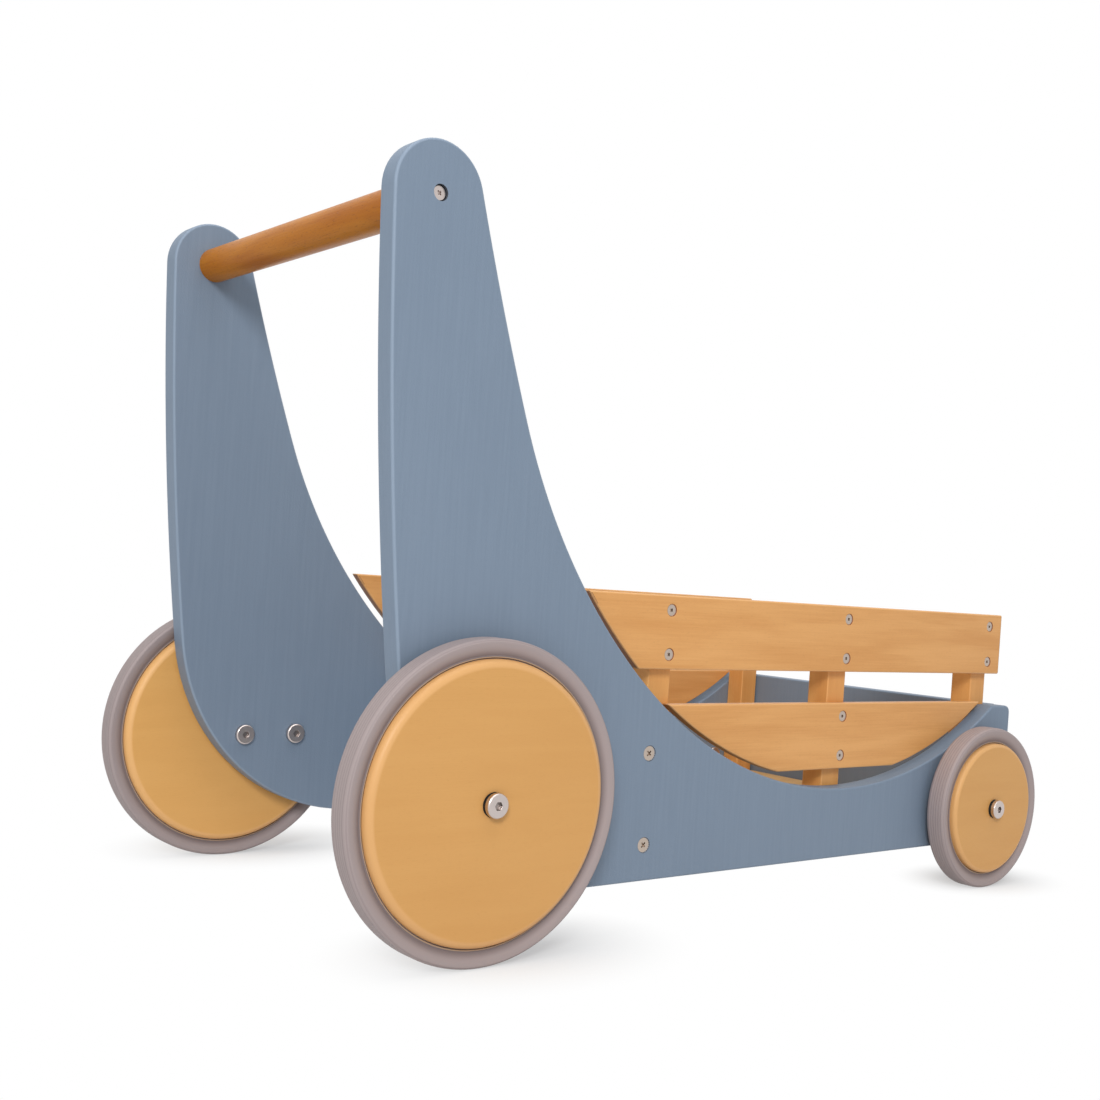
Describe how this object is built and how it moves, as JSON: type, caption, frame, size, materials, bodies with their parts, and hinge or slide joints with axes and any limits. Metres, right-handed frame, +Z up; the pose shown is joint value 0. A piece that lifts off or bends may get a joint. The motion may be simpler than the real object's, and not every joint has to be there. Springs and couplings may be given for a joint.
{
  "type": "baby push walker",
  "caption": "Wooden push walker with swept painted side panels, a round handle bar, an open cargo box with slatted sides and rubber-tyred wooden wheels that roll freely.",
  "frame": {"origin": "on the floor under the middle of the walker's length and width", "axes": "+X forwards, +Y to the walker's left side, +Z up"},
  "size_m": [0.696, 0.3884, 0.4915],
  "materials": {
    "slate_paint": "satin blue-grey paint with faint grain",
    "beech": "clear satin lacquer on warm beech",
    "wheel_wood": "clear satin lacquer on plywood",
    "handle_wood": "clear satin lacquer on a darker turned bar",
    "floor_wood": "clear satin lacquer on plywood",
    "tyre_rubber": "matte taupe-grey rubber",
    "steel": "polished nickel-plated steel",
    "insert_brass": "plain brass",
    "black_nylon": "matte black plastic",
    "pad_felt": "pressed felt"
  },
  "bodies": {
    "chassis": {"right_side_panel": "slate_paint", "left_side_panel": "slate_paint", "handle_bar": "handle_wood", "handle_screws": "steel", "front_wall": "slate_paint", "rear_wall": "slate_paint", "floor_board": "floor_wood", "front_wall_screws": "steel", "rear_wall_screws": "steel", "right_upper_slat": "beech", "right_lower_slat": "beech", "left_upper_slat": "beech", "left_lower_slat": "beech", "right_rear_post": "beech", "right_middle_post": "beech", "right_front_post": "beech", "left_rear_post": "beech", "left_middle_post": "beech", "left_front_post": "beech", "right_slat_screws": "steel", "left_slat_screws": "steel", "right_post_dowels": "beech", "left_post_dowels": "beech", "right_rear_axle_sleeve": "steel", "right_rear_axle_bolt": "steel", "right_rear_washers": "black_nylon", "right_front_axle_sleeve": "steel", "right_front_axle_bolt": "steel", "right_front_washers": "black_nylon", "left_rear_axle_sleeve": "steel", "left_rear_axle_bolt": "steel", "left_rear_washers": "black_nylon", "left_front_axle_sleeve": "steel", "left_front_axle_bolt": "steel", "left_front_washers": "black_nylon", "right_tension_insert": "insert_brass", "left_tension_insert": "insert_brass"},
    "right_rear_wheel": {"right_rear_wheel_disc": "wheel_wood", "right_rear_tyre": "tyre_rubber", "right_rear_bush": "black_nylon"},
    "right_front_wheel": {"right_front_wheel_disc": "wheel_wood", "right_front_tyre": "tyre_rubber", "right_front_bush": "black_nylon"},
    "left_rear_wheel": {"left_rear_wheel_disc": "wheel_wood", "left_rear_tyre": "tyre_rubber", "left_rear_bush": "black_nylon"},
    "left_front_wheel": {"left_front_wheel_disc": "wheel_wood", "left_front_tyre": "tyre_rubber", "left_front_bush": "black_nylon"},
    "right_tension_adjuster": {"right_tension_bolt": "steel", "right_tension_pad": "pad_felt"},
    "left_tension_adjuster": {"left_tension_bolt": "steel", "left_tension_pad": "pad_felt"}
  },
  "joints": [
    {"name": "right_rear_wheel_spin", "type": "hinge", "parent": "chassis", "child": "right_rear_wheel", "pos_m": [-0.248, -0.177, 0.1], "axis": [0, 1, 0], "continuous": true},
    {"name": "right_front_wheel_spin", "type": "hinge", "parent": "chassis", "child": "right_front_wheel", "pos_m": [0.28, -0.177, 0.068], "axis": [0, 1, 0], "continuous": true},
    {"name": "left_rear_wheel_spin", "type": "hinge", "parent": "chassis", "child": "left_rear_wheel", "pos_m": [-0.248, 0.177, 0.1], "axis": [0, 1, 0], "continuous": true},
    {"name": "left_front_wheel_spin", "type": "hinge", "parent": "chassis", "child": "left_front_wheel", "pos_m": [0.28, 0.177, 0.068], "axis": [0, 1, 0], "continuous": true},
    {"name": "right_tension_travel", "type": "slide", "parent": "chassis", "child": "right_tension_adjuster", "axis": [0, 1, 0], "range_m": [0, 0.0025]},
    {"name": "left_tension_travel", "type": "slide", "parent": "chassis", "child": "left_tension_adjuster", "axis": [0, -1, 0], "range_m": [0, 0.0025]}
  ]
}
